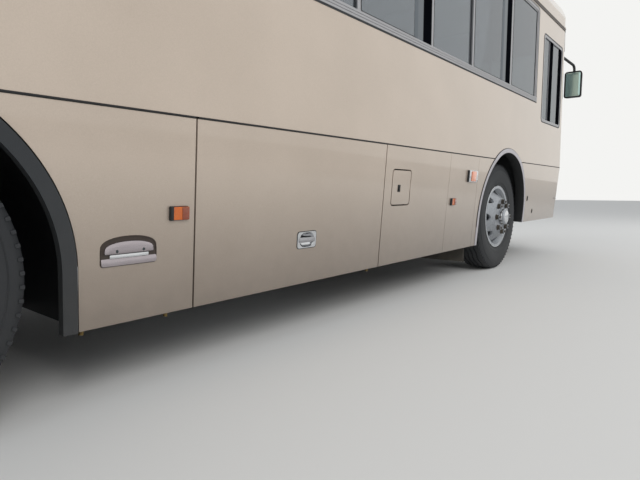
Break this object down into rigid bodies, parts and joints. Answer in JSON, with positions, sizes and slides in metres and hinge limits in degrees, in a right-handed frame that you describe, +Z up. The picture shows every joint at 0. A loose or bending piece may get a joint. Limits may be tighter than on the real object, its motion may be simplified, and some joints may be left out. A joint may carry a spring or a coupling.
{
  "type": "coach bus",
  "caption": "Mid-length coach with flat sides, a row of side windows, a folding entrance, under-floor luggage doors, steered front wheels and twin rear wheels.",
  "frame": {"origin": "on the ground under the middle of the whole length and width, mirrors counted", "axes": "+X forward, +Y to the left of the bus, +Z up"},
  "size_m": [9.675, 2.63, 3.175],
  "materials": {
    "body_paint": "champagne beige metallic gloss",
    "black_steel": "black chassis paint, dusty",
    "tank_steel": "dark grey paint",
    "aluminium": "satin anodised",
    "tinted_glass": "dark tint",
    "rubber": "moulded",
    "black_plastic": "grained",
    "floor_cover": "ribbed cover",
    "bay_lining": "grey paint",
    "wheel_steel": "silver enamel",
    "tyre": "worn rubber",
    "cast_iron": "painted casting",
    "seat_cloth": "moquette",
    "clear_lens": "clear lens",
    "red_lens": "red lens",
    "amber_lens": "amber lens"
  },
  "bodies": {
    "chassis": {"air_tanks": "tank_steel", "chassis_frame": "black_steel", "dashboard": "black_plastic", "engine_block": "cast_iron", "exhaust": "tank_steel", "floor_deck": "floor_cover", "front_arch_lips": "body_paint", "front_axle": "black_steel", "front_bumper": "body_paint", "front_mask": "body_paint", "fuel_tank": "tank_steel", "grab_rails": "aluminium", "headlamp_housings": "aluminium", "headlamps": "clear_lens", "luggage_bay": "bay_lining", "luggage_racks": "bay_lining", "mirrors": "black_plastic", "mud_flaps": "rubber", "propeller_shaft": "black_steel", "rear_arch_rubbers": "rubber", "rear_axle": "black_steel", "rear_bumper": "body_paint", "rear_glass": "tinted_glass", "rear_lamps": "red_lens", "rear_panel": "body_paint", "roof": "body_paint", "roof_aircon": "body_paint", "seat_cushions": "seat_cloth", "seat_frames": "black_plastic", "side_glass": "tinted_glass", "side_lamps": "amber_lens", "skirt_left": "body_paint", "skirt_right": "body_paint", "wall_left": "body_paint", "wall_right": "body_paint", "wheel_housings": "black_plastic", "window_frames": "aluminium", "windscreen": "tinted_glass"},
    "steer_left": {"knuckle_left": "black_steel"},
    "steer_right": {"knuckle_right": "black_steel"},
    "front_wheel_left": {"wheel_front_left": "wheel_steel", "tyre_front_left": "tyre"},
    "front_wheel_right": {"wheel_front_right": "wheel_steel", "tyre_front_right": "tyre"},
    "rear_wheel_left": {"wheels_rear_left": "wheel_steel", "tyres_rear_left": "tyre"},
    "rear_wheel_right": {"wheels_rear_right": "wheel_steel", "tyres_rear_right": "tyre"},
    "luggage_lid_left": {"luggage_door_left": "body_paint"},
    "luggage_lid_right": {"luggage_door_right": "body_paint"},
    "service_lid": {"service_door": "body_paint", "service_marker": "amber_lens"},
    "fuel_flap": {"fuel_lid": "body_paint"},
    "emergency_leaf": {"emergency_door": "body_paint", "emergency_glass": "tinted_glass"},
    "engine_flap": {"engine_lid": "body_paint"},
    "entrance_front": {"entrance_leaf_front": "aluminium", "entrance_glass_front": "tinted_glass"},
    "entrance_rear": {"entrance_leaf_rear": "aluminium", "entrance_glass_rear": "tinted_glass"}
  },
  "joints": [
    {"name": "steer_left", "type": "hinge", "parent": "chassis", "child": "steer_left", "pos_m": [2.3075, 0.85, 0.509], "axis": [0, 0, 1], "range_deg": [-36, 36]},
    {"name": "spin_front_left", "type": "hinge", "parent": "steer_left", "child": "front_wheel_left", "pos_m": [2.3075, 1.035, 0.509], "axis": [0, 1, 0], "continuous": true},
    {"name": "spin_rear_left", "type": "hinge", "parent": "chassis", "child": "rear_wheel_left", "pos_m": [-2.4095, 0.943, 0.509], "axis": [0, 1, 0], "continuous": true},
    {"name": "luggage_left_open", "type": "hinge", "parent": "chassis", "child": "luggage_lid_left", "pos_m": [-0.5875, 1.245, 1.0415], "axis": [1, 0, 0], "range_deg": [0, 90]},
    {"name": "steer_right", "type": "hinge", "parent": "chassis", "child": "steer_right", "pos_m": [2.3075, -0.85, 0.509], "axis": [0, 0, 1], "range_deg": [-36, 36]},
    {"name": "spin_front_right", "type": "hinge", "parent": "steer_right", "child": "front_wheel_right", "pos_m": [2.3075, -1.035, 0.509], "axis": [0, 1, 0], "continuous": true},
    {"name": "spin_rear_right", "type": "hinge", "parent": "chassis", "child": "rear_wheel_right", "pos_m": [-2.4095, -0.943, 0.509], "axis": [0, 1, 0], "continuous": true},
    {"name": "luggage_right_open", "type": "hinge", "parent": "chassis", "child": "luggage_lid_right", "pos_m": [-0.5875, -1.245, 1.0415], "axis": [-1, 0, 0], "range_deg": [0, 90]},
    {"name": "service_open", "type": "hinge", "parent": "chassis", "child": "service_lid", "pos_m": [-1.5865, -1.245, 1.0415], "axis": [-1, 0, 0], "range_deg": [0, 90]},
    {"name": "fuel_open", "type": "hinge", "parent": "chassis", "child": "fuel_flap", "pos_m": [0.4365, -1.22447, 0.779], "axis": [0, -0.0793, 0.9968], "range_deg": [0, 90]},
    {"name": "emergency_open", "type": "hinge", "parent": "chassis", "child": "emergency_leaf", "pos_m": [-3.3485, -1.245, 1.87], "axis": [0, 0, 1], "range_deg": [0, 90]},
    {"name": "engine_open", "type": "hinge", "parent": "chassis", "child": "engine_flap", "pos_m": [-4.8295, 0, 1.484], "axis": [0, 1, 0], "range_deg": [0, 80]},
    {"name": "entrance_fold", "type": "hinge", "parent": "chassis", "child": "entrance_front", "pos_m": [3.8845, 1.177, 1.4], "axis": [0, 0, 1], "range_deg": [0, 82]},
    {"name": "entrance_follow", "type": "hinge", "parent": "entrance_front", "child": "entrance_rear", "pos_m": [3.4995, 1.195, 1.4], "axis": [0, 0, 1], "range_deg": [-164, 0]}
  ],
  "couplings": [
    {"joint": "steer_right", "follows": "steer_left", "ratio": 1},
    {"joint": "entrance_follow", "follows": "entrance_fold", "ratio": -2}
  ]
}
